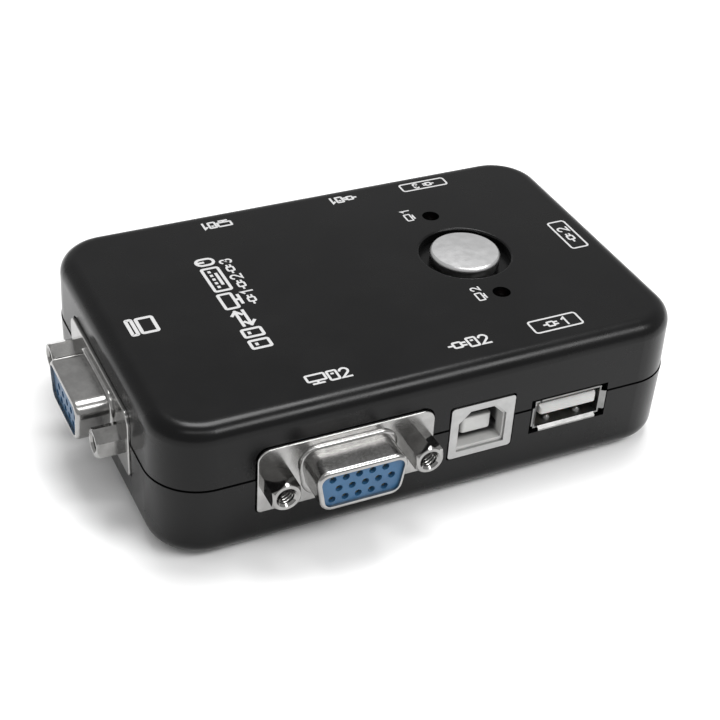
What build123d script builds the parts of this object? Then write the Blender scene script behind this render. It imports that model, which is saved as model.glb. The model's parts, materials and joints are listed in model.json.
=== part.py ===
"""Desktop KVM switch: two computers share one monitor and three USB devices.

Millimetres, +Z up.  The shapes are laid out about the middle of the case, with
z = 0 on its underside, and moved on export so that the origin is the middle of
the whole object's footprint at table height.  +X is the push-button end, -X the
monitor end, -Y the side of computer 2 and +Y the side of computer 1.

Each socket is modelled facing -Y with the outer wall plane at y = 0, then
turned and moved to its wall.  "Depth" is the distance behind that wall plane,
so a negative depth stands out of the case.
"""
import math
import os

from build123d import *

# --- case ---------------------------------------------------------------
case_length = 96.0
case_width = 62.0
case_height = 25.8
case_corner = 9.2
case_wall = 2.0
seam_height = 14.2
seam_gap = 0.3
top_edge_radius = 3.0
bottom_edge_radius = 3.2
top_step = 0.15           # the top cover sits this much inside the bottom one
cover_draft = 1.0         # degrees
tongue_outer = 0.95       # inset of the bottom cover's locating tongue
tongue_thick = 0.85
tongue_height = 1.5
tongue_clearance = 0.1

# --- feet, posts and case screws ----------------------------------------
foot_radius = 4.0
foot_drop = 0.8
foot_recess = 0.4
foot_x = 29.0
foot_y = 22.0
foot_edge = 0.4
post_x = 39.5
post_y = 22.5
post_radius = 3.0
boss_radius = 3.4
screw_radius = 1.25
screw_slip = 1.5
pilot_radius = 1.28
screw_seat = 2.4
screw_tip = 14.0
pilot_end = 16.0
screw_head_radius = 2.3
screw_head_height = 1.7
screw_recess_radius = 2.6
cross_width = 0.7
cross_length = 2.8
cross_depth = 0.9
rib_thick = 1.2
rib_length = 30.0
rib_places = (-31.0, 31.0)
rib_start = 1.0

# --- circuit board ------------------------------------------------------
board_top = 7.9
board_thick = 1.6
board_length = 90.4
board_width = 56.4
board_corner = 7.2
board_hole = 1.5
tail_below = 1.1          # solder tails stand this far below the board

# --- 15-way video sockets -----------------------------------------------
video_x = -16.8
video_z = 13.7
jack_spacing = 24.99
flange_width = 31.0
flange_height = 12.4
flange_thick = 0.8
flange_proud = 0.35
flange_top_radius = 2.2
flange_low_radius = 0.7
flange_hole = 1.65
flange_edge = 0.2
shroud_width = 16.6
shroud_height = 7.9
shroud_slope = 10.0       # degrees
shroud_corner = 2.2
shroud_wall = 0.45
shroud_reach = 6.1
shroud_rim = 0.65         # the front edge is rolled inward
rim_overlap = 0.85        # and covers the edge of the insert
rim_depth = 0.45
step_margin = 1.0
step_height = 0.6
step_round = 0.55
cutout_gap = 0.2
face_recess = 0.5
core_gap = 0.05
core_edge = 0.2
block_width = 18.0
block_top = 5.2
block_depth = 6.0
contact_pitch = 2.29
contact_row = 1.98
contact_shift = 0.5725    # outer rows go this way, the middle row the other
contact_hole = 0.52
contact_mouth = 0.62      # wider entry of each contact hole
contact_mouth_depth = 0.6
contact_radius = 0.45
contact_bore = 0.28
contact_recess = 1.2
contact_bore_depth = 4.0
wire_size = 0.5
tail_first = 7.2
tail_pitch = 2.54
nut_flats = 4.8
nut_height = 4.8
nut_chamfer = 0.45
nut_bore = 1.42
nut_bore_depth = 4.6
nut_mouth = 1.8
stud_radius = 1.4
stud_depth = 3.4
lock_width = 5.4
lock_top = 4.6
lock_thick = 1.2
lock_length = 10.0
lock_hole = 1.65
peg_radius = 1.3
peg_depth = 7.0

# --- USB type B sockets ---------------------------------------------------
usb_b_x = 8.05
usb_b_width = 12.0
usb_b_height = 10.5
usb_b_depth = 16.0
usb_b_wall = 0.35
usb_b_front = 0.5
usb_b_corner = 0.6
usb_b_mouth_width = 9.0
usb_b_mouth_height = 8.0
usb_b_bevel = 2.1
usb_b_cavity = 9.5
usb_b_liner_step = 0.3
usb_b_ledge = 0.6         # liner above the lower edge of the mouth
usb_b_core_end = 0.3
usb_b_tongue_width = 5.7
usb_b_tongue_height = 3.1
usb_b_tongue_depth = 1.9
usb_b_tongue_drop = 0.5   # below the middle of the mouth
usb_b_tongue_side = 0.7
usb_b_tongue_edge = 0.3
usb_b_window = 1.0
usb_b_window_z = (-2.0, 2.0)
usb_b_window_depths = (2.5, 6.5)
usb_b_window_wall = 1.0
usb_b_pins = (-1.25, 1.25)
usb_b_contact = 0.8
usb_b_contact_start = 3.6
usb_b_bends = {1: 1.2, -1: 3.2}
usb_b_wire = 0.4
usb_b_tail_window = 12.0
usb_b_tab = 7.0

# --- USB type A sockets -----------------------------------------------------
usb_a_x = 25.1
usb_a_z = 12.4
usb_a_width = 13.1
usb_a_height = 5.7
usb_a_wall = 0.3
usb_a_depth = 14.0
usb_a_mouth_width = 14.6
usb_a_mouth_height = 6.7
usb_a_lip_depth = 0.5
usb_a_top_lip = 11.3
usb_a_side_lip = 3.8
usb_a_tongue_width = 11.1
usb_a_tongue_top = 1.75
usb_a_tongue_low = 0.0
usb_a_tongue_front = 0.3
usb_a_tongue_slope = 0.75
usb_a_tongue_round = 0.6
usb_a_block = 9.0
usb_a_floor_end = 10.0
usb_a_bump = 0.85
usb_a_bump_x = 3.0
usb_a_bump_depth = 2.3
usb_a_base_start = 3.2
usb_a_pins = (-3.5, -1.0, 1.0, 3.5)
usb_a_contact = 1.0
usb_a_contact_thick = 0.25
usb_a_contact_start = 1.45
usb_a_contact_end = 12.8
usb_a_wire = 0.3
socket_gap = 0.25         # between a USB socket and its cut-out
tab_width = 1.3
tab_depths = (4.5, 10.5)

# --- push button, its switch and the lamps ------------------------------
control_x = 20.65
control_y = 1.1
press_travel = 0.3
cap_radius = 6.4
cap_head = 1.15           # thickness of the wide head above the neck
cap_neck_radius = 5.9
cap_proud = 0.75
cap_crown = 0.25
cap_edge = 1.05
cap_wall = 0.8
cap_roof = 1.4
cap_flange_radius = 7.7
cap_flange_thick = 1.0
cap_hole_radius = 6.3
cap_stop_gap = 0.05
guide_low = 21.6
guide_radius = 10.0
dish_radius = 8.25
dish_depth = 1.8
dish_rim = 0.45
stem_radius = 3.2
socket_depth = 3.5
socket_slip = 0.02
switch_side = 12.0
switch_height = 3.4
switch_stand = 0.1
switch_well = 3.8
switch_floor = 0.8
switch_bevel = 0.5
cover_thick = 0.3
cover_hole = 3.5
clip_width = 3.0
clip_drop = 1.8
plunger_radius = 3.4
plunger_head = 3.8
plunger_top = 19.9
plunger_low = 1.62        # above the switch base's underside, just over the dome
plunger_collar = 0.5
plunger_neck = 1.2        # round part above the switch base
collar_gap = 0.1
collar_slip = 0.05
dome_radius = 3.4
dome_rise = 0.8
dome_thick = 0.12
leg_x = 6.25
leg_y = 2.5
leg_width = 1.0
leg_thick = 0.3
leg_shoulder = 1.2
leg_inset = 1.6
lamp_spacing = 27.1
lamp_hole = 1.6
lamp_radius = 1.5
lamp_flange_radius = 1.9
lamp_flange = 1.0
lamp_base = 18.6
lamp_top = 24.0
lamp_lead = 0.5
lamp_lead_gap = 2.54

# --- parts on the board ---------------------------------------------------
hub_place = (1.0, 0.0)
hub_size = (5.3, 10.2, 1.75)
hub_pins = 14
hub_pitch = 0.65
video_chip_places = ((-17.0, -8.5), (-17.0, 8.5))
video_chip_size = (9.9, 3.9, 1.5)
video_chip_pins = 8
video_chip_pitch = 1.27
chip_stand = 0.1
chip_bevel = 0.2
pin_width = 0.3
pin_thick = 0.2
pin_reach = 1.0
pin_knee = 0.4
crystal_place = (1.0, 12.0)
crystal_size = (11.0, 4.6, 3.5)
crystal_flange = 0.5
can_edge = 0.4
can_places = ((-30.0, -9.0), (-30.0, 9.0), (1.0, -12.5))
can_radius = 2.5
can_height = 7.0
can_groove_height = 1.2
can_groove = 0.25
resistor_size = (2.0, 1.25, 0.5)
resistor_rows = ((-26.0, 0.0), (-8.0, 0.0))
resistor_count = 5
resistor_pitch = 2.6
capacitor_size = (2.0, 1.25, 1.0)
capacitor_places = ((-17.0, -14.0), (-17.0, 14.0), (8.0, -6.0), (8.0, 6.0), (33.0, -12.0), (33.0, 12.0))

# --- derived sizes ----------------------------------------------------------
past = 2.0                # how far a cutting shape runs past what it cuts
half_length = case_length / 2
half_width = case_width / 2
board_low = board_top - board_thick
ceiling = case_height - case_wall
shroud_end = flange_proud + shroud_reach
frame_shift = (shroud_end / 2, 0, foot_drop)
usb_b_z = board_top + usb_b_height / 2
lamp_ys = (control_y + lamp_spacing / 2, control_y - lamp_spacing / 2)
tail_low = board_low - tail_below

# where each socket goes: x, y, turn about +Z
monitor_seat = (-half_length, 0, -90)
pc1_video_seat = (video_x, half_width, 180)
pc2_video_seat = (video_x, -half_width, 0)
pc1_usb_seat = (usb_b_x, half_width, 180)
pc2_usb_seat = (usb_b_x, -half_width, 0)
usb1_seat = (usb_a_x, -half_width, 0)
usb2_seat = (half_length, 0, 90)
usb3_seat = (usb_a_x, half_width, 180)
video_seats = (monitor_seat, pc1_video_seat, pc2_video_seat)
usb_b_seats = (pc1_usb_seat, pc2_usb_seat)
usb_a_seats = (usb1_seat, usb2_seat, usb3_seat)


# --- helpers ------------------------------------------------------------
def box(x0, x1, y0, y1, z0, z1):
    """Box between two corners."""
    middle = Pos((x0 + x1) / 2, (y0 + y1) / 2, (z0 + z1) / 2)
    return middle * Box(abs(x1 - x0), abs(y1 - y0), abs(z1 - z0))


def rod(x, y, radius, z0, z1):
    """Upright cylinder."""
    return Pos(x, y, (z0 + z1) / 2) * Cylinder(radius, z1 - z0)


def slab(profile, near, far):
    """A front-view profile made solid between two depths."""
    return extrude(Plane.XZ.offset(-far) * profile, amount=far - near)


def deep_rod(x, z, radius, near, far):
    """Cylinder along the depth direction."""
    return slab(Pos(x, z) * Circle(radius), near, far)


def seated(shape, seat, height):
    """Turn a socket to its wall and lift it to its height."""
    x, y, turn = seat
    return Pos(x, y, height) * Rot(0, 0, turn) * shape


def mirrored_pair(shape):
    """A shape and its mirror image in the socket's middle plane."""
    return [shape, mirror(shape, about=Plane.YZ)]


def write(name, shapes):
    """Move a node into the object's frame and save it."""
    solids = shapes if isinstance(shapes, list) else [shapes]
    moved = [Pos(*frame_shift) * shape for shape in solids]
    whole = moved[0] if len(moved) == 1 else Compound(children=moved)
    export_step(whole, "parts/" + name + ".step")


# --- case ---------------------------------------------------------------
def cover_block(inset, start, height, upward, edge_radius, draft):
    """Rounded rectangular block that tapers away from the seam."""
    corner = case_corner - inset
    plan = RectangleRounded(case_length - 2 * inset, case_width - 2 * inset, corner)
    direction = 1 if upward else -1
    plane = Plane(origin=(0, 0, start), x_dir=(1, 0, 0), z_dir=(0, 0, direction))
    block = extrude(plane * plan, amount=height, taper=draft)
    far_face = block.faces().sort_by(Axis.Z)[-1 if upward else 0]
    return fillet(far_face.edges(), edge_radius)


def rim_ring(outer_inset, inner_inset, low, high):
    """Upright ring that follows the case wall."""
    rings = []
    for inset in (outer_inset, inner_inset):
        plan = RectangleRounded(case_length - 2 * inset, case_width - 2 * inset, case_corner - inset)
        rings.append(extrude(Plane.XY.offset(low) * plan, amount=high - low))
    return rings[0] - rings[1]


def video_cutout():
    """Wall opening for a video socket's flange."""
    return slab(flange_outline(cutout_gap), -past, case_wall + past)


def usb_b_cutout():
    """Wall opening for a USB type B socket."""
    profile = RectangleRounded(usb_b_width + 2 * socket_gap, usb_b_height + 2 * socket_gap, usb_b_corner)
    return slab(profile, -past, case_wall + past)


def usb_a_cutout():
    """Wall opening for a USB type A socket's flared mouth."""
    profile = Rectangle(usb_a_mouth_width + 2 * socket_gap, usb_a_mouth_height + socket_gap)
    return slab(profile, -past, case_wall + past)


def wall_cutouts():
    """All eight socket openings."""
    cuts = [seated(video_cutout(), seat, video_z) for seat in video_seats]
    cuts += [seated(usb_b_cutout(), seat, usb_b_z) for seat in usb_b_seats]
    cuts += [seated(usb_a_cutout(), seat, usb_a_z) for seat in usb_a_seats]
    return cuts


def corner_places(x, y):
    """The four points at plus and minus x and y."""
    return [(sx * x, sy * y) for sx in (-1, 1) for sy in (-1, 1)]


def button_dish():
    """Flat recess with a rounded rim, cut into the top around the button."""
    wide = dish_radius + dish_rim
    rim = case_height - dish_rim
    outline = Polyline(
        (wide, case_height), (wide, case_height + past), (0, case_height + past),
        (0, case_height - dish_depth), (dish_radius, case_height - dish_depth), (dish_radius, rim),
    )
    outline += CenterArc((wide, rim), dish_rim, 90, 90)
    dish = revolve(make_face(Plane.XZ * outline), axis=Axis.Z)
    return Pos(control_x, control_y, 0) * dish


def make_top_cover():
    """Top half of the case with posts, button guide and lamp holes."""
    low = seam_height + seam_gap / 2
    outer = cover_block(top_step, low, case_height - low, True, top_edge_radius, cover_draft)
    inner_inset = top_step + case_wall
    inner_radius = top_edge_radius - case_wall
    cover = outer - cover_block(inner_inset, low, ceiling - low, True, inner_radius, cover_draft)
    rebate_top = seam_height + tongue_height + tongue_clearance
    cover -= rim_ring(tongue_outer - tongue_clearance, inner_inset + past, low - past, rebate_top)
    for x, y in corner_places(post_x, post_y):
        cover += rod(x, y, post_radius, board_top, ceiling)
    for x, y in corner_places(post_x, post_y):
        cover -= rod(x, y, pilot_radius, board_top, pilot_end)
    cover += rod(control_x, control_y, guide_radius, guide_low, ceiling)
    cover -= rod(control_x, control_y, cap_hole_radius, guide_low, case_height)
    cover -= button_dish()
    for y in lamp_ys:
        cover -= rod(control_x, y, lamp_hole, ceiling - past, case_height + past)
    for cut in wall_cutouts():
        cover -= cut
    return cover


def make_bottom_cover():
    """Bottom half of the case with bosses, board ribs and foot recesses."""
    high = seam_height - seam_gap / 2
    outer = cover_block(0, high, high, False, bottom_edge_radius, cover_draft)
    inner_radius = bottom_edge_radius - case_wall
    cover = outer - cover_block(case_wall, high, high - case_wall, False, inner_radius, cover_draft)
    tongue_inner = tongue_outer + tongue_thick
    cover += rim_ring(tongue_outer, tongue_inner, high - 1, seam_height + tongue_height)
    for x, y in corner_places(post_x, post_y):
        cover += rod(x, y, boss_radius, case_wall / 2, board_low)
    half_thick, half_run = rib_thick / 2, rib_length / 2
    for x in rib_places:
        cover += box(x - half_thick, x + half_thick, -half_run, half_run, rib_start, board_low)
    for x, y in corner_places(post_x, post_y):
        cover -= rod(x, y, screw_slip, 0, board_low)
        cover -= rod(x, y, screw_recess_radius, 0, screw_seat)
    for x, y in corner_places(foot_x, foot_y):
        cover -= rod(x, y, foot_radius, 0, foot_recess)
    for cut in wall_cutouts():
        cover -= cut
    return cover


def make_case_screw(x, y):
    """Cross-recess screw driven up from below."""
    head_low = screw_seat - screw_head_height
    head = rod(x, y, screw_head_radius, head_low, screw_seat)
    head = fillet(head.edges().group_by(Axis.Z)[0], foot_edge)
    cross_top = head_low + cross_depth
    for width, length in ((cross_width, cross_length), (cross_length, cross_width)):
        half_x, half_y = width / 2, length / 2
        head -= box(x - half_x, x + half_x, y - half_y, y + half_y, head_low - past, cross_top)
    return head + rod(x, y, screw_radius, screw_seat, screw_tip)


def make_foot(x, y):
    """Round rubber foot let into the underside."""
    foot = rod(x, y, foot_radius, -foot_drop, foot_recess)
    return fillet(foot.edges().group_by(Axis.Z)[0], foot_edge)


# --- 15-way video socket ------------------------------------------------
def d_outline(margin):
    """The D-shaped outline, wide side up, grown or shrunk by a margin."""
    wide = shroud_width / 2 + margin
    high = shroud_height / 2 + margin
    lean = 2 * high * math.tan(math.radians(shroud_slope))
    corners = [(-wide, high), (wide, high), (wide - lean, -high), (lean - wide, -high)]
    face = make_face(Polyline(*corners, close=True))
    return fillet(face.vertices(), max(shroud_corner + margin, 0.5))


def flange_outline(margin):
    """Flange outline with round upper and nearly square lower corners, grown by a margin."""
    plate = Rectangle(flange_width + 2 * margin, flange_height + 2 * margin)
    upper = fillet(plate.vertices().group_by(Axis.Y)[-1], flange_top_radius)
    return fillet(upper.vertices().group_by(Axis.Y)[0], flange_low_radius)


def make_video_shell():
    """Plated steel flange with its drawn step and D-shaped shroud."""
    back = flange_thick - flange_proud
    step = slab(d_outline(step_margin), -flange_proud - step_height, back)
    step = fillet(step.faces().sort_by(Axis.Y)[0].edges(), step_round)
    shroud = slab(d_outline(0), -shroud_end, back)
    shroud = fillet(shroud.faces().sort_by(Axis.Y)[0].edges(), shroud_rim)
    flange = slab(flange_outline(0), -flange_proud, back)
    flange = fillet(flange.faces().sort_by(Axis.Y)[0].edges(), flange_edge)
    shell = flange + step + shroud
    shell -= slab(d_outline(-rim_overlap), -shroud_end - past, back)
    shell -= slab(d_outline(-shroud_wall), rim_depth - shroud_end, back + past)
    for side in (-1, 1):
        shell -= deep_rod(side * jack_spacing / 2, 0, flange_hole, -flange_proud - past, back + past)
    return shell


def contact_places():
    """Front-view position of each of the fifteen contacts and its row number."""
    places = []
    for row in (1, 0, -1):
        shift = contact_shift if row == 0 else -contact_shift
        for column in range(-2, 3):
            places.append((column * contact_pitch + shift, row * contact_row, row))
    return places


def make_video_contact(x, z, row):
    """Socket sleeve whose wire bends down through the board."""
    front = contact_recess - shroud_end
    sleeve = deep_rod(x, z, contact_radius, front, block_depth)
    sleeve -= deep_rod(x, z, contact_bore, front - past, front + contact_bore_depth)
    half = wire_size / 2
    bend = tail_first + (row + 1) * tail_pitch
    tail_end = tail_low - video_z
    along = box(x - half, x + half, block_depth - 1, bend + half, z - half, z + half)
    down = box(x - half, x + half, bend - half, bend + half, tail_end, z + half)
    return sleeve + along + down


def make_video_core():
    """Moulded insert that fills the shroud and carries the contacts."""
    front = face_recess - shroud_end
    back = flange_thick - flange_proud
    insert = slab(d_outline(-shroud_wall - core_gap), front, back)
    insert = fillet(insert.faces().sort_by(Axis.Y)[0].edges(), core_edge)
    half = block_width / 2
    core = insert + box(-half, half, back, block_depth, board_top - video_z, block_top)
    for x, z, _ in contact_places():
        core -= deep_rod(x, z, contact_hole, front - past, block_depth + past)
        core -= deep_rod(x, z, contact_mouth, front - past, front + contact_mouth_depth)
    return core


def make_jack_nut():
    """Hexagonal jack nut with a threaded bore and a stud behind the flange."""
    front = -flange_proud - nut_height
    hexagon = RegularPolygon(nut_flats / 2, 6, major_radius=False, rotation=30)
    tip_radius = nut_flats / math.sqrt(3)
    envelope = deep_rod(0, 0, tip_radius, front, -flange_proud)
    envelope = chamfer(envelope.edges().sort_by(Axis.Y)[0], nut_chamfer)
    nut = slab(hexagon, front, -flange_proud) & envelope
    nut += deep_rod(0, 0, stud_radius, -flange_proud, stud_depth)
    nut -= deep_rod(0, 0, nut_bore, front, front + nut_bore_depth)
    mouth_depth = nut_mouth - nut_bore
    mouth = Cone(nut_mouth, nut_bore, mouth_depth)
    nut -= Pos(0, front + mouth_depth / 2, 0) * Rot(-90, 0, 0) * mouth
    return Pos(jack_spacing / 2, 0, 0) * nut


def make_board_lock():
    """Angle bracket that ties the flange to the board."""
    back = flange_thick - flange_proud
    foot = board_top - video_z
    middle = jack_spacing / 2
    left, right = middle - lock_width / 2, middle + lock_width / 2
    lock = box(left, right, back, back + lock_thick, foot, lock_top)
    lock += box(left, right, back, lock_length, foot, foot + lock_thick)
    lock += rod(middle, peg_depth, peg_radius, tail_low - video_z, foot)
    return lock - deep_rod(middle, 0, lock_hole, back - past, back + lock_thick + past)


# --- USB type B socket ----------------------------------------------------
def usb_b_mouth(margin):
    """Plug opening with its two bevelled upper corners."""
    wide = usb_b_mouth_width / 2 + margin
    high = usb_b_mouth_height / 2 + margin
    bevel = usb_b_bevel
    corners = [(-wide, -high), (wide, -high), (wide, high - bevel), (wide - bevel, high)]
    corners += [(bevel - wide, high), (-wide, high - bevel)]
    return make_face(Polyline(*corners, close=True))


def make_usb_b_shell():
    """Plated steel box with a framed mouth and side latch windows."""
    outline = RectangleRounded(usb_b_width, usb_b_height, usb_b_corner)
    inside = Rectangle(usb_b_width - 2 * usb_b_wall, usb_b_height - 2 * usb_b_wall)
    shell = slab(outline, 0, usb_b_depth)
    shell -= slab(inside, usb_b_front, usb_b_depth + past)
    shell -= slab(usb_b_mouth(0), -past, usb_b_front + past)
    half = usb_b_window / 2
    for z in usb_b_window_z:
        shell -= box(-usb_b_width, usb_b_width, *usb_b_window_depths, z - half, z + half)
    tail_half = usb_b_contact + usb_b_pins[1]
    window_end = usb_b_depth + past
    shell -= box(-tail_half, tail_half, usb_b_tail_window, window_end, -usb_b_height, -usb_b_height / 4)
    inner, outer = usb_b_width / 2 - usb_b_wall, usb_b_width / 2
    tail_end = tail_low - usb_b_z
    for tab in mirrored_pair(box(inner, outer, usb_b_tab, usb_b_tab + tab_width, tail_end, 0)):
        shell += tab
    return shell


def make_usb_b_contact(x, side):
    """Strip on the tongue, above or below, with a tail through the board."""
    half = usb_b_contact / 2
    level = side * usb_b_tongue_height / 2 - usb_b_tongue_drop
    inner = level - side * usb_a_contact_thick
    low, high = min(level, inner), max(level, inner)
    bend = usb_b_depth - usb_b_bends[side]
    strip = box(x - half, x + half, usb_b_contact_start, bend, low, high)
    return strip + box(x - half, x + half, bend - usb_b_wire, bend, tail_low - usb_b_z, high)


def usb_b_contacts():
    """Four contacts, two on each face of the tongue."""
    return [make_usb_b_contact(x, side) for side in (1, -1) for x in usb_b_pins]


def make_usb_b_tongue():
    """Block in the middle of the mouth, rounded towards the plug."""
    outline = Pos(0, -usb_b_tongue_drop) * Rectangle(usb_b_tongue_width, usb_b_tongue_height)
    tongue = slab(outline, usb_b_tongue_depth, usb_b_cavity)
    tongue = fillet(tongue.edges().filter_by(Axis.Z).group_by(Axis.Y)[0], usb_b_tongue_side)
    for face in (Axis.Z, -Axis.Z):
        rim = tongue.faces().sort_by(face)[-1].edges().sort_by(Axis.Y)[:-1]
        tongue = fillet(rim, usb_b_tongue_edge)
    return tongue


def make_usb_b_core():
    """Moulded liner, back block and tongue."""
    outline = Rectangle(usb_b_width - 2 * usb_b_wall, usb_b_height - 2 * usb_b_wall)
    core = slab(outline, usb_b_front, usb_b_depth - usb_b_core_end)
    cavity = slab(usb_b_mouth(-usb_b_liner_step), -past, usb_b_cavity)
    ledge_top = usb_b_ledge - usb_b_mouth_height / 2
    cavity -= box(-usb_b_width, usb_b_width, -past, usb_b_cavity, -usb_b_height, ledge_top)
    core = core - cavity + make_usb_b_tongue()
    half = usb_b_window / 2
    inner = usb_b_mouth_width / 2 - usb_b_window_wall
    for z in usb_b_window_z:
        core -= box(-usb_b_width, -inner, *usb_b_window_depths, z - half, z + half)
        core -= box(inner, usb_b_width, *usb_b_window_depths, z - half, z + half)
    for contact in usb_b_contacts():
        core -= contact
    return core


# --- USB type A socket ----------------------------------------------------
def flared_lip(inner, outer, length):
    """Sloping lip above the middle, from the shell wall out to the mouth."""
    back = usb_a_lip_depth
    section = [(back, inner), (0, outer), (0, outer - usb_a_wall), (back, inner - usb_a_wall)]
    face = make_face(Plane.YZ * Polyline(*section, close=True))
    return extrude(face, amount=length / 2, both=True)


def make_usb_a_shell():
    """Folded steel shell with four flared lips, floor springs and board tabs."""
    half_wide, half_high = usb_a_width / 2, usb_a_height / 2
    shell = slab(Rectangle(usb_a_width, usb_a_height), usb_a_lip_depth, usb_a_depth)
    inside = Rectangle(usb_a_width - 2 * usb_a_wall, usb_a_height - 2 * usb_a_wall)
    shell -= slab(inside, usb_a_lip_depth - past, usb_a_depth - usb_a_wall)
    inner_wide = half_wide - usb_a_wall
    shell -= box(-inner_wide, inner_wide, usb_a_floor_end, usb_a_depth - usb_a_wall, -half_high - past, 0)
    top = flared_lip(half_high, usb_a_mouth_height / 2, usb_a_top_lip)
    side = Rot(0, 90, 0) * flared_lip(half_wide, usb_a_mouth_width / 2, usb_a_side_lip)
    for lip in (top, Rot(0, 180, 0) * top, side, Rot(0, 180, 0) * side):
        shell += lip
    floor = -half_high + usb_a_wall
    for x in (-usb_a_bump_x, usb_a_bump_x):
        bump = Pos(x, usb_a_bump_depth, floor) * Sphere(usb_a_bump)
        shell += bump & box(x - past, x + past, 0, usb_a_depth, -half_high, half_high)
    tail_end = tail_low - usb_a_z
    for depth in tab_depths:
        for x in (-half_wide, inner_wide):
            shell += box(x, x + usb_a_wall, depth, depth + tab_width, tail_end, usb_a_wall - half_high)
    return shell


def make_usb_a_contact(x):
    """Strip under the tongue with a tail through the board."""
    half = usb_a_contact / 2
    low = usb_a_tongue_low
    high = low + usb_a_contact_thick
    end = usb_a_contact_end
    strip = box(x - half, x + half, usb_a_contact_start, end, low, high)
    return strip + box(x - half, x + half, end - usb_a_wire, end, tail_low - usb_a_z, high)


def make_usb_a_tongue():
    """Tongue with rounded front corners and a slope on its upper front edge."""
    front, top = usb_a_tongue_front, usb_a_tongue_top
    half = usb_a_tongue_width / 2
    plan = box(-half, half, front, usb_a_block, usb_a_tongue_low, top)
    plan = fillet(plan.edges().filter_by(Axis.Z).group_by(Axis.Y)[0], usb_a_tongue_round)
    corner = [(front, top), (front, top - usb_a_tongue_slope), (front + usb_a_tongue_slope, top)]
    wedge = extrude(make_face(Plane.YZ * Polyline(*corner, close=True)), amount=half, both=True)
    return plan - wedge


def make_usb_a_core():
    """Moulded tongue, back block and the base that stands on the board."""
    tongue = make_usb_a_tongue()
    inner_wide = usb_a_width / 2 - usb_a_wall
    inner_high = usb_a_height / 2 - usb_a_wall
    back = usb_a_depth - usb_a_wall
    foot = board_top - usb_a_z
    core = tongue + box(-inner_wide, inner_wide, usb_a_block, back, -inner_high, inner_high)
    core += box(-inner_wide, inner_wide, usb_a_floor_end, back, foot, 0)
    core += box(-inner_wide, inner_wide, usb_a_base_start, usb_a_floor_end, foot, -usb_a_height / 2)
    for x in usb_a_pins:
        core -= make_usb_a_contact(x)
    return core


# --- push button and switch -----------------------------------------------
def make_button_cap():
    """Domed head on a narrower neck, with a retaining flange and a stem that grips the plunger."""
    top = case_height + cap_proud
    flange_high = guide_low - cap_stop_gap
    flange_low = flange_high - cap_flange_thick
    head = rod(0, 0, cap_radius, top - cap_head, top)
    head = fillet(head.edges().group_by(Axis.Z)[-1], cap_edge)
    crown_radius = (cap_radius ** 2 + cap_crown ** 2) / (2 * cap_crown)
    head &= Pos(0, 0, top - crown_radius) * Sphere(crown_radius)
    cap = head + rod(0, 0, cap_neck_radius, flange_low, top - cap_head)
    cap += rod(0, 0, cap_flange_radius, flange_low, flange_high)
    cap -= rod(0, 0, cap_neck_radius - cap_wall, flange_low, top - cap_roof)
    stem_low = plunger_top - socket_depth
    cap += rod(0, 0, stem_radius, stem_low, top - cap_roof)
    half = plunger_head / 2 + socket_slip
    cap -= box(-half, half, -half, half, stem_low, plunger_top)
    return Pos(control_x, control_y, 0) * cap


def make_switch_base():
    """Square moulded switch body with the well for dome and plunger."""
    low = board_top + switch_stand
    half = switch_side / 2
    base = box(-half, half, -half, half, low, low + switch_height)
    base = chamfer(base.edges().filter_by(Axis.Z), switch_bevel)
    base -= rod(0, 0, switch_well, low + switch_floor, low + switch_height)
    for leg in switch_legs_local():
        base -= leg
    return Pos(control_x, control_y, 0) * base


def make_switch_cover():
    """Thin steel plate that holds the plunger in, with two side clips."""
    low = board_top + switch_stand + switch_height
    half = switch_side / 2
    plate = box(-half, half, -half, half, low, low + cover_thick)
    plate -= rod(0, 0, cover_hole, low, low + cover_thick)
    for side in (-1, 1):
        edge = side * half
        outer = edge + side * cover_thick
        near, far = min(edge, outer), max(edge, outer)
        plate += box(-clip_width / 2, clip_width / 2, near, far, low - clip_drop, low + cover_thick)
    return Pos(control_x, control_y, 0) * plate


def make_switch_plunger():
    """Round plunger with a collar under the cover and a square head."""
    base = board_top + switch_stand
    cover_low = base + switch_height
    low = base + plunger_low
    plunger = rod(0, 0, plunger_radius, low, cover_low + plunger_neck)
    collar_top = cover_low - collar_gap
    plunger += rod(0, 0, switch_well - collar_slip, collar_top - plunger_collar, collar_top)
    half = plunger_head / 2
    plunger += box(-half, half, -half, half, low, plunger_top)
    return Pos(control_x, control_y, 0) * plunger


def make_switch_dome():
    """Snap dome under the plunger."""
    low = board_top + switch_stand + switch_floor
    radius = (dome_radius ** 2 + dome_rise ** 2) / (2 * dome_rise)
    centre = Pos(0, 0, low + dome_rise - radius)
    ball = centre * (Sphere(radius) - Sphere(radius - dome_thick))
    dome = ball & rod(0, 0, dome_radius + past, low, low + dome_rise)
    return Pos(control_x, control_y, 0) * dome


def switch_legs_local():
    """Four flat legs that leave the body's sides and pass through the board."""
    high = board_top + switch_stand + leg_shoulder
    legs = []
    for x, y in corner_places(leg_x, leg_y):
        inner = math.copysign(abs(x) - leg_inset, x)
        outer = math.copysign(abs(x) + leg_thick, x)
        left, right = min(x, outer), max(x, outer)
        leg = box(left, right, y - leg_width / 2, y + leg_width / 2, tail_low, high)
        reach = (min(inner, outer), max(inner, outer))
        legs.append(leg + box(*reach, y - leg_width / 2, y + leg_width / 2, high - leg_thick, high))
    return legs


def make_switch_legs():
    """The switch legs in place."""
    return [Pos(control_x, control_y, 0) * leg for leg in switch_legs_local()]


def make_lamp(y):
    """Round 3 mm indicator lamp under its hole."""
    lamp = rod(control_x, y, lamp_radius, lamp_base, lamp_top)
    lamp = fillet(lamp.edges().group_by(Axis.Z)[-1], lamp_radius - 0.1)
    return lamp + rod(control_x, y, lamp_flange_radius, lamp_base, lamp_base + lamp_flange)


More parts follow.
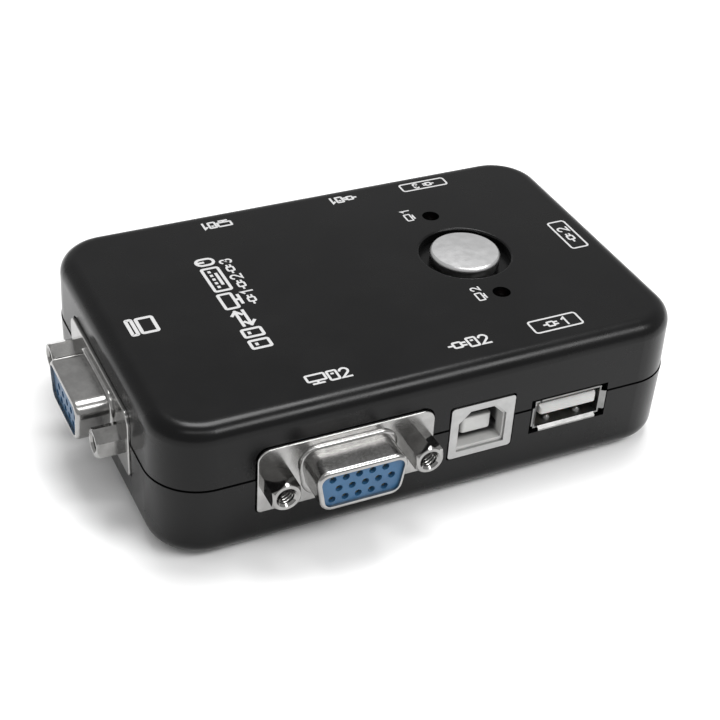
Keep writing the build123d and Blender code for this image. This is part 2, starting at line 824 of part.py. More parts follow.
def lamp_leads():
    """Two square leads under each lamp."""
    half = lamp_lead / 2
    leads = []
    for y in lamp_ys:
        for side in (-1, 1):
            x = control_x + side * lamp_lead_gap / 2
            leads.append(box(x - half, x + half, y - half, y + half, tail_low, lamp_base))
    return leads


# --- circuit board and its parts ----------------------------------------------
def board_tails():
    """Everything that is soldered through the board."""
    tails = []
    for seat in video_seats:
        tails += [seated(make_video_contact(*place), seat, video_z) for place in contact_places()]
        tails += [seated(lock, seat, video_z) for lock in mirrored_pair(make_board_lock())]
    for seat in usb_b_seats:
        tails += [seated(contact, seat, usb_b_z) for contact in usb_b_contacts()]
        tails.append(seated(make_usb_b_shell(), seat, usb_b_z))
    for seat in usb_a_seats:
        tails += [seated(make_usb_a_contact(x), seat, usb_a_z) for x in usb_a_pins]
        tails.append(seated(make_usb_a_shell(), seat, usb_a_z))
    return tails + make_switch_legs() + lamp_leads()


def make_circuit_board():
    """Glass-fibre board with the screw holes and the soldered tails cut out."""
    plan = RectangleRounded(board_length, board_width, board_corner)
    board = extrude(Plane.XY.offset(board_low) * plan, amount=board_thick)
    for x, y in corner_places(post_x, post_y):
        board -= rod(x, y, board_hole, board_low, board_top)
    layer = box(-half_length, half_length, -half_width, half_width, board_low, board_top)
    for tail in board_tails():
        piece = tail & layer
        board -= piece
    return board


def chip_body(place, size):
    """Moulded chip with a bevelled top."""
    x, y = place
    length, width, height = size
    low = board_top + chip_stand
    body = box(x - length / 2, x + length / 2, y - width / 2, y + width / 2, low, low + height)
    return chamfer(body.faces().sort_by(Axis.Z)[-1].edges(), chip_bevel)


def gull_pin(height):
    """One gull-wing pin that leaves a body edge at x = 0 toward +X."""
    half = pin_width / 2
    level = chip_stand + height / 2
    pin = box(0, pin_knee, -half, half, level, level + pin_thick)
    pin += box(pin_knee - pin_thick, pin_knee, -half, half, 0, level + pin_thick)
    return pin + box(pin_knee - pin_thick, pin_reach, -half, half, 0, pin_thick)


def chip_pins(place, body_width, height, count, pitch, turn):
    """Both rows of pins of a chip whose rows run along Y before turning."""
    pins = []
    for index in range(count):
        y = (index - (count - 1) / 2) * pitch
        pin = Pos(body_width / 2, y, 0) * gull_pin(height)
        for side in (0, 180):
            pins.append(Pos(*place, board_top) * Rot(0, 0, turn + side) * pin)
    return pins


def make_crystal():
    """Low metal-can crystal on its flange."""
    x, y = crystal_place
    length, width, height = crystal_size
    can = SlotOverall(length - 2 * crystal_flange, width - 2 * crystal_flange)
    foot = SlotOverall(length, width)
    low = Plane.XY.offset(board_top)
    body = extrude(Pos(x, y) * low * can, amount=height)
    body = fillet(body.faces().sort_by(Axis.Z)[-1].edges(), can_edge)
    return body + extrude(Pos(x, y) * low * foot, amount=crystal_flange)


def make_can_capacitor(x, y):
    """Electrolytic capacitor with its crimped groove."""
    can = rod(x, y, can_radius, board_top, board_top + can_height)
    can = fillet(can.edges().group_by(Axis.Z)[-1], can_edge)
    groove_z = board_top + can_groove_height
    return can - Pos(x, y, groove_z) * Torus(can_radius + can_groove, 2 * can_groove)


def small_part(x, y, size):
    """Rectangular chip component on the board."""
    length, width, height = size
    low = board_top
    return box(x - length / 2, x + length / 2, y - width / 2, y + width / 2, low, low + height)


def chip_resistors():
    """Rows of chip resistors."""
    parts = []
    for x, y in resistor_rows:
        for index in range(resistor_count):
            offset = (index - (resistor_count - 1) / 2) * resistor_pitch
            parts.append(small_part(x, y + offset, resistor_size))
    return parts


# --- writing the nodes --------------------------------------------------
def write_video_socket(name, seat):
    """All nodes of one video socket."""
    write(name + "_shell", seated(make_video_shell(), seat, video_z))
    write(name + "_insulator", seated(make_video_core(), seat, video_z))
    contacts = [make_video_contact(*place) for place in contact_places()]
    write(name + "_contacts", [seated(contact, seat, video_z) for contact in contacts])
    write(name + "_jack_nuts", [seated(nut, seat, video_z) for nut in mirrored_pair(make_jack_nut())])
    write(name + "_board_locks", [seated(lock, seat, video_z) for lock in mirrored_pair(make_board_lock())])


def write_usb_b_socket(name, seat):
    """All nodes of one USB type B socket."""
    write(name + "_shell", seated(make_usb_b_shell(), seat, usb_b_z))
    write(name + "_insulator", seated(make_usb_b_core(), seat, usb_b_z))
    write(name + "_contacts", [seated(contact, seat, usb_b_z) for contact in usb_b_contacts()])


def write_usb_a_socket(name, seat):
    """All nodes of one USB type A socket."""
    write(name + "_shell", seated(make_usb_a_shell(), seat, usb_a_z))
    write(name + "_insulator", seated(make_usb_a_core(), seat, usb_a_z))
    write(name + "_contacts", [seated(make_usb_a_contact(x), seat, usb_a_z) for x in usb_a_pins])


def write_case():
    """Covers, screws, feet and board."""
    write("top_cover", make_top_cover())
    write("bottom_cover", make_bottom_cover())
    write("case_screws", [make_case_screw(x, y) for x, y in corner_places(post_x, post_y)])
    write("rubber_feet", [make_foot(x, y) for x, y in corner_places(foot_x, foot_y)])
    write("circuit_board", make_circuit_board())


def write_controls():
    """Push button, its switch and the two lamps."""
    write("button_cap", make_button_cap())
    write("switch_base", make_switch_base())
    write("switch_cover", make_switch_cover())
    write("switch_plunger", make_switch_plunger())
    write("switch_dome", make_switch_dome())
    write("switch_legs", make_switch_legs())
    write("pc1_lamp", make_lamp(lamp_ys[0]))
    write("pc2_lamp", make_lamp(lamp_ys[1]))
    write("lamp_leads", lamp_leads())


def write_board_parts():
    """Chips and small parts on the board."""
    write("hub_chip", chip_body(hub_place, hub_size))
    write("hub_chip_pins", chip_pins(hub_place, hub_size[0], hub_size[2], hub_pins, hub_pitch, 0))
    write("video_chips", [chip_body(place, video_chip_size) for place in video_chip_places])
    video_pins = []
    for place in video_chip_places:
        video_pins += chip_pins(
            place, video_chip_size[1], video_chip_size[2], video_chip_pins, video_chip_pitch, 90
        )
    write("video_chip_pins", video_pins)
    write("crystal", make_crystal())
    write("can_capacitors", [make_can_capacitor(x, y) for x, y in can_places])
    write("chip_resistors", chip_resistors())
    write("chip_capacitors", [small_part(x, y, capacitor_size) for x, y in capacitor_places])


os.makedirs("parts", exist_ok=True)
write_case()
write_video_socket("monitor_socket", monitor_seat)
write_video_socket("pc1_video_socket", pc1_video_seat)
write_video_socket("pc2_video_socket", pc2_video_seat)
write_usb_b_socket("pc1_usb_socket", pc1_usb_seat)
write_usb_b_socket("pc2_usb_socket", pc2_usb_seat)
write_usb_a_socket("usb1_socket", usb1_seat)
write_usb_a_socket("usb2_socket", usb2_seat)
write_usb_a_socket("usb3_socket", usb3_seat)
write_controls()
write_board_parts()
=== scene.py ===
"""Looks of the desktop KVM switch: materials, printed marks, jack-nut threads, floor, lights and camera."""
import json
import math

import bmesh
import bpy
from mathutils import Matrix, Vector


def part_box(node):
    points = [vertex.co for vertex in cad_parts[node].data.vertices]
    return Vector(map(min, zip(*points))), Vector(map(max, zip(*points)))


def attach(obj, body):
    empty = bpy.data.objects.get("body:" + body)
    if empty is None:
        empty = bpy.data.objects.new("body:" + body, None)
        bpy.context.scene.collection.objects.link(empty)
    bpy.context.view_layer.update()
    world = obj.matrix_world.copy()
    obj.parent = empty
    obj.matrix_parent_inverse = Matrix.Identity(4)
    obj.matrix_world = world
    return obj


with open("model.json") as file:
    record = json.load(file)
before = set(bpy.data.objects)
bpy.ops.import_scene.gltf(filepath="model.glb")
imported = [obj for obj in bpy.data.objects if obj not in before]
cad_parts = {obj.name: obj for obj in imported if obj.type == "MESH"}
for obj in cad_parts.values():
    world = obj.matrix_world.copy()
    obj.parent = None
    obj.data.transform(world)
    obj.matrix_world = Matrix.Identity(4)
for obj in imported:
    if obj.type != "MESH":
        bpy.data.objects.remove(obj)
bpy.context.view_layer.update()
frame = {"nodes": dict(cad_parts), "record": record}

MM = 0.001
NODES = frame["nodes"]


# ------------------------------------------------------------------ materials
class Shader:
    """A principled material with short helpers for its texture nodes."""

    def __init__(self, name, color, rough, metallic=0.0):
        self.mat = bpy.data.materials.new(name)
        self.mat.use_nodes = True
        self.tree = self.mat.node_tree
        self.bsdf = self.tree.nodes["Principled BSDF"]
        self.place = self.tree.nodes.new("ShaderNodeTexCoord").outputs["Object"]
        self.bsdf.inputs["Base Color"].default_value = (*color, 1)
        self.bsdf.inputs["Roughness"].default_value = rough
        self.bsdf.inputs["Metallic"].default_value = metallic
        self.height = None

    def link(self, source, target):
        self.tree.links.new(source, target)

    def stretched(self, scale):
        """Object coordinates scaled unevenly, for grain that runs one way."""
        mapping = self.tree.nodes.new("ShaderNodeMapping")
        mapping.inputs["Scale"].default_value = scale
        self.link(self.place, mapping.inputs["Vector"])
        return mapping.outputs["Vector"]

    def noise(self, size_mm, detail=3.0, vector=None, rough=0.55):
        """Noise whose features are about size_mm across."""
        node = self.tree.nodes.new("ShaderNodeTexNoise")
        node.inputs["Scale"].default_value = 1 / (size_mm * MM)
        node.inputs["Detail"].default_value = detail
        node.inputs["Roughness"].default_value = rough
        self.link(vector or self.place, node.inputs["Vector"])
        return node.outputs["Fac"]

    def cells(self, size_mm, feature="F1"):
        """Cell pattern with cells about size_mm across."""
        node = self.tree.nodes.new("ShaderNodeTexVoronoi")
        node.feature = feature
        node.inputs["Scale"].default_value = 1 / (size_mm * MM)
        self.link(self.place, node.inputs["Vector"])
        return node.outputs["Distance"]

    def ranged(self, fac, low, high, start=0.3, end=0.7):
        """A 0 to 1 pattern turned into a number between low and high."""
        node = self.tree.nodes.new("ShaderNodeMapRange")
        node.inputs["From Min"].default_value = start
        node.inputs["From Max"].default_value = end
        node.inputs["To Min"].default_value = low
        node.inputs["To Max"].default_value = high
        self.link(fac, node.inputs["Value"])
        return node.outputs["Result"]

    def tint(self, fac, dark, light, start=0.35, end=0.65):
        """Base colour that varies between two colours."""
        ramp = self.tree.nodes.new("ShaderNodeValToRGB")
        ramp.color_ramp.elements[0].position = start
        ramp.color_ramp.elements[0].color = (*dark, 1)
        ramp.color_ramp.elements[1].position = end
        ramp.color_ramp.elements[1].color = (*light, 1)
        self.link(fac, ramp.inputs["Fac"])
        self.link(ramp.outputs["Color"], self.bsdf.inputs["Base Color"])
        return self

    def gloss(self, fac, low, high):
        """Roughness that varies between two values."""
        self.link(self.ranged(fac, low, high), self.bsdf.inputs["Roughness"])
        return self

    def bump(self, fac, depth_mm, strength=1.0):
        """Surface relief of a given depth; calls add up."""
        node = self.tree.nodes.new("ShaderNodeBump")
        node.inputs["Strength"].default_value = strength
        node.inputs["Distance"].default_value = depth_mm * MM
        self.link(fac, node.inputs["Height"])
        if self.height:
            self.link(self.height, node.inputs["Normal"])
        self.height = node.outputs["Normal"]
        self.link(self.height, self.bsdf.inputs["Normal"])
        return self

    def paint_shade_inside(self, mouth, open_mm, deep_mm, share):
        """Painted shade: darkens the colour behind a mouth in the long sides, as shade falls inside a narrow
        socket.
        """
        axes = self.tree.nodes.new("ShaderNodeSeparateXYZ")
        self.link(self.place, axes.inputs["Vector"])
        reach = self.tree.nodes.new("ShaderNodeMath")
        reach.operation = "ABSOLUTE"
        self.link(axes.outputs["Y"], reach.inputs[0])
        # painted shade: full colour near the mouth, fading to a share of it deeper in
        shade = self.ranged(reach.outputs[0], share, 1.0, mouth - deep_mm * MM, mouth - open_mm * MM)
        scaled = self.tree.nodes.new("ShaderNodeVectorMath")
        scaled.operation = "SCALE"
        color = self.bsdf.inputs["Base Color"]
        self.link(color.links[0].from_socket, scaled.inputs[0])
        self.link(shade, scaled.inputs["Scale"])
        self.link(scaled.outputs["Vector"], color)
        return self

    def fixed(self, **values):
        """Constants set straight on the shader's sockets."""
        for name, value in values.items():
            self.bsdf.inputs[name.replace("_", " ")].default_value = value
        return self


# dark and light colour, roughness, grain size and depth in mm, size of the flow marks in mm
PALE_DARK = (0.42, 0.42, 0.41)
PALE_LIGHT = (0.5, 0.5, 0.49)
PLASTICS = {
    "case_plastic": ((0.0018, 0.0018, 0.0019), (0.0027, 0.0027, 0.0029), 0.25, 0.16, 0.008, 18),
    "foot_rubber": ((0.012, 0.012, 0.012), (0.022, 0.022, 0.022), 0.75, 0.22, 0.03, 14),
    "board_laminate": ((0.01, 0.085, 0.03), (0.02, 0.13, 0.05), 0.32, 0.5, 0.02, 3),
    "blue_plastic": ((0.017, 0.082, 0.178), (0.023, 0.1, 0.208), 0.42, 0.2, 0.01, 4),
    "light_plastic": (PALE_DARK, PALE_LIGHT, 0.4, 0.25, 0.01, 5),
    # same colours as light_plastic; this copy carries painted shade deep inside the USB type B mouths
    "usb_b_liner_painted_shade": (PALE_DARK, PALE_LIGHT, 0.4, 0.25, 0.01, 5),
    "black_moulding": ((0.012, 0.012, 0.013), (0.03, 0.03, 0.031), 0.55, 0.12, 0.02, 3),
    "plunger_plastic": ((0.05, 0.05, 0.05), (0.08, 0.08, 0.08), 0.45, 0.2, 0.01, 3),
    "resistor_body": ((0.02, 0.02, 0.022), (0.05, 0.05, 0.055), 0.35, 0.1, 0.01, 1),
    "capacitor_body": ((0.36, 0.28, 0.18), (0.5, 0.4, 0.28), 0.5, 0.08, 0.01, 1),
}

# dark and light colour, roughness, how the drawing lines are squeezed along x, y and z, their depth in mm
EVEN = (1, 1, 1)
METALS = {
    "flange_nickel": ((0.31, 0.307, 0.302), (0.38, 0.377, 0.37), 0.2, (1, 1, 5), 0.0002),
    "usb_a_steel": ((0.19, 0.19, 0.187), (0.25, 0.25, 0.247), 0.34, (1, 1, 6), 0.001),
    "usb_b_steel": ((0.36, 0.36, 0.357), (0.41, 0.41, 0.407), 0.36, (4, 4, 1), 0.001),
    "nut_nickel": ((0.25, 0.247, 0.242), (0.34, 0.337, 0.33), 0.1, (3, 3, 1), 0.0003),
    "lock_steel": ((0.45, 0.45, 0.44), (0.58, 0.58, 0.57), 0.35, EVEN, 0.004),
    "screw_steel": ((0.28, 0.28, 0.29), (0.42, 0.42, 0.43), 0.3, EVEN, 0.008),
    "sheet_steel": ((0.48, 0.48, 0.485), (0.6, 0.6, 0.6), 0.28, (6, 1, 1), 0.004),
    "tinned_lead": ((0.52, 0.52, 0.515), (0.66, 0.66, 0.655), 0.33, EVEN, 0.004),
    "gold_contact": ((0.62, 0.42, 0.16), (0.8, 0.58, 0.26), 0.22, EVEN, 0.004),
}

# nodes whose finish is a shaded version of their slot's: the same colour with painted shade deep in the
# socket mouth
PAINTED_SHADE_LINERS = {socket + "_usb_socket_insulator": "usb_b_liner_painted_shade" for socket in ("pc1", "pc2")}
LINER_OPEN = 2.0     # the liner keeps its colour down to this depth behind the mouth, where the painted shade begins, mm
LINER_DEEP = 3.0     # and the painted shade is at full strength from this one on, mm
LINER_PAINTED_SHADE = 0.16   # share of the colour left under the full painted shade


def moulded(name, dark, light, rough, grain_mm, grain_depth, flow_mm):
    """Moulded plastic: fine eroded grain, slight flow shading and uneven gloss."""
    shader = Shader(name, light, rough)
    shader.tint(shader.noise(flow_mm, 4), dark, light)
    shader.gloss(shader.noise(flow_mm * 0.6, 5), rough - 0.04, rough + 0.05)
    shader.bump(shader.noise(grain_mm, 2, rough=0.7), grain_depth, 0.6)
    return shader


def plated(name, dark, light, rough, grain, depth):
    """Plated metal: faint drawing lines, cloudy plate and shallow waves."""
    shader = Shader(name, light, rough, 1.0)
    lines = shader.noise(0.45, 1.5, shader.stretched(grain))
    shader.tint(shader.noise(2.4, 4), dark, light)
    shader.gloss(lines, max(rough - 0.03, 0.04), rough + 0.05)
    shader.bump(lines, depth, 0.5)
    shader.bump(shader.noise(1.6, 1), depth, 0.3)
    return shader


def silver_paint():
    """Fine metallic coating of the push button."""
    shader = Shader("button_silver", (0.7, 0.7, 0.7), 0.33, 1.0)
    flakes = shader.noise(0.12, 2, rough=0.8)
    shader.tint(flakes, (0.63, 0.63, 0.635), (0.69, 0.69, 0.69), 0.25, 0.75)
    shader.gloss(shader.noise(1.5, 4), 0.3, 0.37)
    return shader.bump(shader.noise(0.5, 2), 0.0003, 0.4)


def lamp_epoxy():
    """Dark tinted epoxy of an unlit lamp."""
    shader = Shader("lamp_epoxy", (0.03, 0.012, 0.012), 0.12)
    shader.tint(shader.noise(1.2, 2), (0.02, 0.009, 0.009), (0.05, 0.016, 0.014))
    return shader.bump(shader.noise(0.4, 1), 0.002, 0.4)


def capacitor_sleeve():
    """Shrunk dark blue sleeve."""
    shader = Shader("capacitor_sleeve", (0.02, 0.025, 0.06), 0.25)
    shader.tint(shader.noise(2, 3), (0.012, 0.015, 0.04), (0.03, 0.035, 0.08))
    return shader.bump(shader.noise(0.8, 3), 0.01, 0.4)


def make_materials():
    """One finished material for every slot of the record, and the liner copy with painted shade inside the
    socket mouth.
    """
    made = {name: moulded(name, *look) for name, look in PLASTICS.items()}
    made.update({name: plated(name, *look) for name, look in METALS.items()})
    case = made["case_plastic"]
    case.bump(case.cells(0.3), 0.004, 0.5).fixed(Specular_IOR_Level=0.2)
    board = made["board_laminate"]
    board.bump(board.cells(1.1, "DISTANCE_TO_EDGE"), 0.01, 0.3)
    made["blue_plastic"].fixed(Subsurface_Weight=0.05, Subsurface_Scale=0.001)
    made["light_plastic"].fixed(Subsurface_Weight=0.1, Subsurface_Scale=0.001)
    mouth = -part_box("pc2_usb_socket_shell")[0][1]
    # painted shade: the liner's colour darkens with depth behind the USB type B mouth
    made["usb_b_liner_painted_shade"].paint_shade_inside(mouth, LINER_OPEN, LINER_DEEP, LINER_PAINTED_SHADE)
    made["button_silver"] = silver_paint()
    made["lamp_epoxy"] = lamp_epoxy()
    made["capacitor_sleeve"] = capacitor_sleeve()
    return {slot: shader.mat for slot, shader in made.items()}


def dress_nodes(materials):
    """Gives every CAD node its finished material."""
    for part in frame["record"]["subparts"]:
        obj = NODES[part["node"]]
        # the USB type B liners get the copy with painted shade inside the mouth
        slot = PAINTED_SHADE_LINERS.get(part["node"], part["material_slot"])
        for index in range(max(len(obj.material_slots), 1)):
            if not obj.material_slots:
                obj.data.materials.append(materials[slot])
            obj.material_slots[index].material = materials[slot]


def ink_material():
    """Screen-printed white ink with a slightly open, uneven film."""
    ink = Shader("print_ink", (0.75, 0.75, 0.75), 0.5)
    ink.tint(ink.noise(0.18, 3), (0.36, 0.36, 0.36), (0.5, 0.5, 0.5), 0.3, 0.55)
    ink.bump(ink.noise(0.12, 2), 0.01, 0.5)
    return ink.mat


# -------------------------------------------------------------- printed marks
BOLD_LINE = 0.62     # stroke widths of the ink, mm
TITLE_LINE = 0.55
LINE = 0.42
THIN_LINE = 0.36
FINE_LINE = 0.3
FILM = 0.02          # thickness of the ink film, mm
FILM_STEP = 0.0006   # each further line is this much thicker, so crossing lines never share a face


def arc(cx, cy, radius, start, end, steps=8):
    """Points along an arc, degrees counted from +x."""
    angles = [math.radians(start + (end - start) * i / steps) for i in range(steps + 1)]
    return [(cx + radius * math.cos(a), cy + radius * math.sin(a)) for a in angles]


def frame_line(x0, y0, x1, y1, radius=0.0):
    """Closed rectangle outline with round corners."""
    if not radius:
        return [(x0, y0), (x1, y0), (x1, y1), (x0, y1), (x0, y0)]
    left, right, low, high = x0 + radius, x1 - radius, y0 + radius, y1 - radius
    corners = ((right, low, -90), (right, high, 0), (left, high, 90), (left, low, 180))
    points = [point for x, y, start in corners for point in arc(x, y, radius, start, start + 90, 4)]
    return points + points[:1]


def numeral(value):
    """A plain stroked figure one unit high; returns its lines and width."""
    if value == 1:
        return [[(0.05, 0.78), (0.3, 1.0), (0.3, 0.0)]], 0.4
    if value == 2:
        return [arc(0.3, 0.7, 0.3, 160, -40) + [(0.0, 0.0), (0.62, 0.0)]], 0.62
    return [arc(0.28, 0.74, 0.26, 150, -90) + arc(0.28, 0.26, 0.28, 80, -150)], 0.6


def tower():
    """Computer tower: case outline and a drive slot."""
    return [frame_line(0, 0, 0.66, 1, 0.08), [(0.3, 0.68), (0.36, 0.68)]], 0.66


def screen():
    """Flat monitor on a stand."""
    return [frame_line(0, 0.3, 1.35, 1, 0.08), [(0.675, 0.3), (0.675, 0.02)], [(0.3, 0.0), (1.05, 0.0)]], 1.35


def keyboard():
    """Keyboard with a row of keys and a space bar."""
    keys = [[(0.36 + 0.37 * i, 0.62), (0.4 + 0.37 * i, 0.62)] for i in range(5)]
    return [frame_line(0, 0.05, 2.2, 0.95, 0.1), [(0.6, 0.33), (1.6, 0.33)]] + keys, 2.2


def mouse():
    """Mouse seen from above, with its wheel."""
    body = arc(0.3, 0.68, 0.3, 0, 180) + arc(0.3, 0.32, 0.3, 180, 360)
    return [body + body[:1], [(0.3, 0.98), (0.3, 0.62)]], 0.6


def monitor_sign():
    """Bold monitor over a keyboard, in mm about its middle."""
    return [frame_line(-2.1, -0.55, 2.1, 2.2, 0.3), frame_line(-2.2, -2.25, 2.2, -1.35, 0.2)]


def swap():
    """Two opposite arrows."""
    right = [[(0, 0.7), (1.3, 0.7)], [(1.0, 0.95), (1.3, 0.7), (1.0, 0.45)]]
    left = [[(1.3, 0.28), (0, 0.28)], [(0.3, 0.53), (0, 0.28), (0.3, 0.03)]]
    return right + left, 1.3


def plug():
    """Cable plug: body, two prongs and a tail."""
    return [frame_line(0.35, 0.2, 0.95, 0.8, 0.1), [(0.95, 0.66), (1.25, 0.66)], [(0.95, 0.34), (1.25, 0.34)],
            [(0.35, 0.5), (0.0, 0.5)]], 1.25


def row_of(signs, height, gap):
    """Signs set side by side; returns lines in mm about the row's middle."""
    placed, x = [], 0.0
    for lines, width in signs:
        placed += [[(x + px * height, py * height) for px, py in line] for line in lines]
        x += width * height + gap
    middle = (x - gap) / 2
    return [[(px - middle, py - height / 2) for px, py in line] for line in placed]


def boxed(lines, width, height):
    """Adds a rounded box around a row."""
    return lines + [frame_line(-width / 2, -height / 2, width / 2, height / 2, 0.5)]


def stroke_sides(points, closed, half):
    """Left and right edge points of a stroke, mitred at its corners."""
    count = len(points)
    sides = []
    for i, point in enumerate(points):
        before = points[i - 1] if i or closed else point
        after = points[(i + 1) % count] if i < count - 1 or closed else point
        into = (point - before).normalized()
        out = (after - point).normalized()
        into = into if into.length else out
        out = out if out.length else into
        normal = (Vector((-into.y, into.x)) + Vector((-out.y, out.x))).normalized()
        reach = half / max(normal.dot(Vector((-into.y, into.x))), 0.45)
        sides.append((point + normal * reach, point - normal * reach))
    return sides


def lengthened(points, closed, half):
    """An open stroke reaches half its width past both ends."""
    if closed:
        return points
    first = points[0] + (points[0] - points[1]).normalized() * half
    last = points[-1] + (points[-1] - points[-2]).normalized() * half
    return [first] + points[1:-1] + [last]


def add_stroke(mesh, line, place, width, film):
    """One inked line as a thin raised band."""
    points = [Vector(point) for point in line]
    closed = len(points) > 3 and (points[0] - points[-1]).length < 1e-6
    points = points[:-1] if closed else points
    half = width / 2
    sides = stroke_sides(lengthened(points, closed, half), closed, half)
    rings = []
    for left, right in sides:
        spots = ((left, 0.0), (left, film), (right, film), (right, 0.0))
        rings.append([mesh.verts.new(place @ Vector((p.x * MM, p.y * MM, z * MM))) for p, z in spots])
    pairs = list(zip(rings, rings[1:])) + ([(rings[-1], rings[0])] if closed else [])
    for a, b in pairs:
        for j in range(3):
            mesh.faces.new((a[j], a[j + 1], b[j + 1], b[j]))
    for end in () if closed else (rings[0], rings[-1]):
        mesh.faces.new(end)


def print_mark(name, lines, x, y, turn, width, ink):
    """Prints a row of lines on the top face; x and y in mm from the case's middle."""
    low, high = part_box("top_cover")
    middle = Vector(((low[0] + high[0]) / 2, (low[1] + high[1]) / 2, high[2]))
    spot = middle + Vector((x * MM, y * MM, 0))
    place = Matrix.Translation(spot) @ Matrix.Rotation(math.radians(turn), 4, "Z")
    mesh = bmesh.new()
    for index, line in enumerate(lines):
        add_stroke(mesh, line, place, width, FILM + index * FILM_STEP)
    bmesh.ops.recalc_face_normals(mesh, faces=mesh.faces)
    data = bpy.data.meshes.new(name)
    mesh.to_mesh(data)
    mesh.free()
    data.materials.append(ink)
    piece = bpy.data.objects.new(name, data)
    bpy.context.scene.collection.objects.link(piece)
    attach(piece, "enclosure")


def print_all_marks():
    """Every printed sign on the top cover."""
    ink = ink_material()
    video = {n: row_of([screen(), tower(), numeral(n)], 2.35, 0.55) for n in (1, 2)}
    usb = {n: row_of([plug(), tower(), numeral(n)], 2.4, 0.6) for n in (1, 2)}
    far_video = row_of([screen(), tower(), numeral(1)], 1.85, 0.45)
    far_usb = row_of([plug(), tower(), numeral(1)], 1.8, 0.45)
    small = {n: row_of([screen(), numeral(n)], 1.6, 0.8) for n in (1, 2)}
    device = {n: boxed(row_of([plug(), numeral(n)], 2.0, 1.1), 9.2, 3.4) for n in (1, 2, 3)}
    far_device = boxed(row_of([plug(), numeral(3)], 1.6, 1.2), 9.3, 2.5)
    title = row_of([tower(), tower(), swap(), screen(), keyboard(), mouse()], 3.3, 1.15)
    subtitle = row_of([plug(), numeral(1), plug(), numeral(2), plug(), numeral(3)], 2.0, 0.75)
    marks = {
        "print_pc2_video": (video[2], -17.5, -24.1, 0, LINE),
        "print_pc2_usb": (usb[2], 8.0, -23.9, 0, LINE),
        "print_pc1_video": (far_video, -17.7, 25.3, 180, LINE),
        "print_pc1_usb": (far_usb, 7.8, 25.8, 180, LINE),
        "print_usb1": (device[1], 24.65, -24.0, 0, THIN_LINE),
        "print_usb2": (device[2], 41.6, 0.1, 90, THIN_LINE),
        "print_usb3": (far_device, 24.6, 25.6, 180, THIN_LINE),
        "print_lamp1": (small[1], 16.7, 16.2, 90, FINE_LINE),
        "print_lamp2": (small[2], 16.6, -11.6, 90, FINE_LINE),
        "print_monitor": (monitor_sign(), -40.5, -0.5, -90, BOLD_LINE),
        "print_title": (title, -24.2, 1.0, 90, TITLE_LINE),
        "print_subtitle": (subtitle, -20.7, 6.5, 90, THIN_LINE),
    }
    for name, (lines, x, y, turn, width) in marks.items():
        print_mark(name, lines, x, y, turn, width, ink)


# ------------------------------------------------------------ jack-nut thread
# all in mm
THREAD_PITCH = 0.635
THREAD_ROOT = 1.405
THREAD_CREST = 1.17
THREAD_LENGTH = 3.9
THREAD_START = 0.5   # depth of the first turn behind the nut's mouth
THREAD_STEPS = 28    # points in one turn
HALF_NUT = 2.4
# across one turn: offset in pitches, radius
THREAD_RIDGE = ((-0.45, THREAD_ROOT), (-0.06, THREAD_CREST), (0.06, THREAD_CREST), (0.45, THREAD_ROOT))


def thread_mesh(name):
    """Internal screw thread that runs along +Y from the mouth at the origin, as a helical ridge."""
    mesh = bmesh.new()
    total = int(THREAD_LENGTH / THREAD_PITCH * THREAD_STEPS)
    rows = []
    for i in range(total + 1):
        angle = 2 * math.pi * i / THREAD_STEPS
        depth = THREAD_START + THREAD_PITCH * i / THREAD_STEPS
        ridge = []
        for offset, radius in THREAD_RIDGE:
            y = depth + offset * THREAD_PITCH
            spot = Vector((radius * math.cos(angle), y, radius * math.sin(angle)))
            ridge.append(mesh.verts.new(spot * MM))
        rows.append(ridge)
    for a, b in zip(rows, rows[1:]):
        for j in range(3):
            mesh.faces.new((a[j], b[j], b[j + 1], a[j + 1]))
    bmesh.ops.recalc_face_normals(mesh, faces=mesh.faces)
    data = bpy.data.meshes.new(name)
    mesh.to_mesh(data)
    mesh.free()
    for face in data.polygons:
        face.use_smooth = True
    return data


def add_threads(materials):
    """A thread in each of the six jack nuts."""
    half_nut = HALF_NUT * MM
    seats = {"monitor_socket": ("x", -90), "pc1_video_socket": ("y", 180), "pc2_video_socket": ("-y", 0)}
    data = thread_mesh("jack_thread")
    data.materials.append(materials["nut_nickel"])
    for socket, (side, turn) in seats.items():
        low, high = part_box(socket + "_jack_nuts")
        height = (low[2] + high[2]) / 2
        for sign, end in ((-1, "a"), (1, "b")):
            if side == "x":
                edge = low[1] + half_nut if sign < 0 else high[1] - half_nut
                spot = Vector((low[0], edge, height))
            else:
                edge = low[0] + half_nut if sign < 0 else high[0] - half_nut
                spot = Vector((edge, high[1] if side == "y" else low[1], height))
            piece = bpy.data.objects.new(socket + "_thread_" + end, data.copy())
            piece.data.transform(Matrix.Translation(spot) @ Matrix.Rotation(math.radians(turn), 4, "Z"))
            bpy.context.scene.collection.objects.link(piece)
            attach(piece, "enclosure")


# ----------------------------------------------------- floor, light and camera
# place, width and height in metres, power in watts; each points at the middle of the floor
LIGHTS = {
    "softbox": ((0.31, -0.46, 0.61), 0.42, 0.2, 3.0),
    "front_panel": ((-0.2, -0.5, 0.86), 0.7, 0.2, 1.3),
    "top_light": ((0.13, 0.22, 0.95), 0.5, 0.4, 8.0),
}
ROOM_LIGHT = 0.53
HALF_FLOOR = 4       # metres
FOCAL_LENGTH = 77.91
SENSOR_WIDTH = 36.0
CAMERA_PLACE = (-0.100806, -0.203205, 0.174554)
CAMERA_TURN = (53.960, -3.0614, -24.9663)


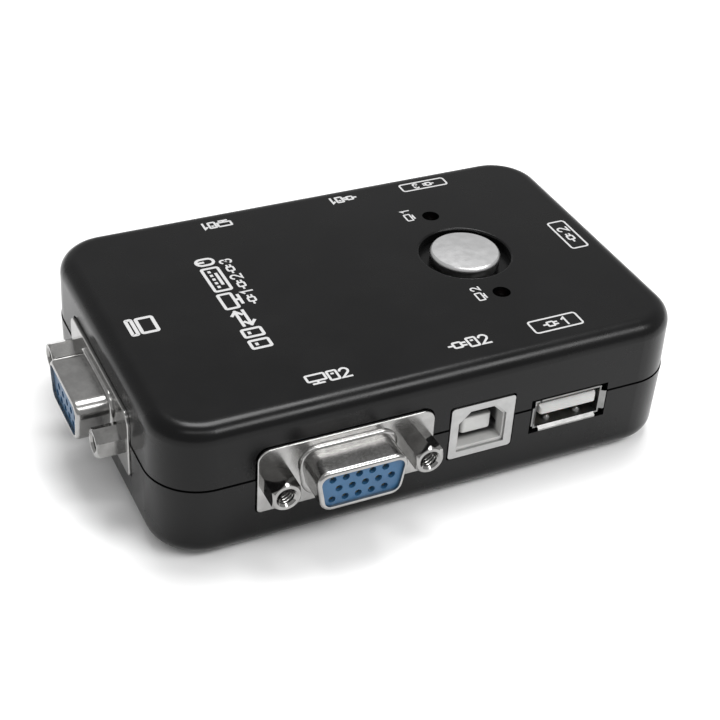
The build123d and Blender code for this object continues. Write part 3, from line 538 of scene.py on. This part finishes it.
def add_floor():
    """Pale light table: matte white with a little light of its own."""
    data = bpy.data.meshes.new("floor")
    corners = [(x * HALF_FLOOR, y * HALF_FLOOR, 0) for x, y in ((-1, -1), (1, -1), (1, 1), (-1, 1))]
    data.from_pydata(corners, [], [(0, 1, 2, 3)])
    floor = bpy.data.objects.new("floor", data)
    bpy.context.scene.collection.objects.link(floor)
    paper = Shader("floor_paper", (0.9, 0.9, 0.9), 0.9)
    paper.tint(paper.noise(60, 3), (0.89, 0.89, 0.89), (0.91, 0.91, 0.91))
    paper.fixed(Emission_Color=(1, 1, 1, 1), Emission_Strength=0.01)
    data.materials.append(paper.mat)


def add_area(name, place, width, height, watts):
    """Soft rectangular light that points at the origin."""
    lamp = bpy.data.lights.new(name, "AREA")
    lamp.shape = "RECTANGLE"
    lamp.size = width
    lamp.size_y = height
    lamp.energy = watts
    obj = bpy.data.objects.new(name, lamp)
    obj.location = place
    obj.rotation_euler = (-Vector(place)).to_track_quat("-Z", "Y").to_euler()
    bpy.context.scene.collection.objects.link(obj)


def add_lights():
    """Softbox over the near right, a dim panel over the near left, a top light and an even room."""
    for name, values in LIGHTS.items():
        add_area(name, *values)
    world = bpy.data.worlds.new("studio")
    world.use_nodes = True
    background = world.node_tree.nodes["Background"]
    background.inputs["Color"].default_value = (1, 1, 1, 1)
    background.inputs["Strength"].default_value = ROOM_LIGHT
    bpy.context.scene.world = world


def add_camera():
    """Three-quarter view from the near left, looking down."""
    data = bpy.data.cameras.new("camera")
    data.sensor_width = SENSOR_WIDTH
    data.lens = FOCAL_LENGTH
    data.clip_start = 0.01
    camera = bpy.data.objects.new("camera", data)
    camera.location = CAMERA_PLACE
    camera.rotation_euler = [math.radians(angle) for angle in CAMERA_TURN]
    bpy.context.scene.collection.objects.link(camera)
    bpy.context.scene.camera = camera


def main():
    """Builds the whole visual model."""
    bpy.context.scene.view_settings.view_transform = "Standard"
    materials = make_materials()
    dress_nodes(materials)
    print_all_marks()
    add_threads(materials)
    add_floor()
    add_lights()
    add_camera()


main()
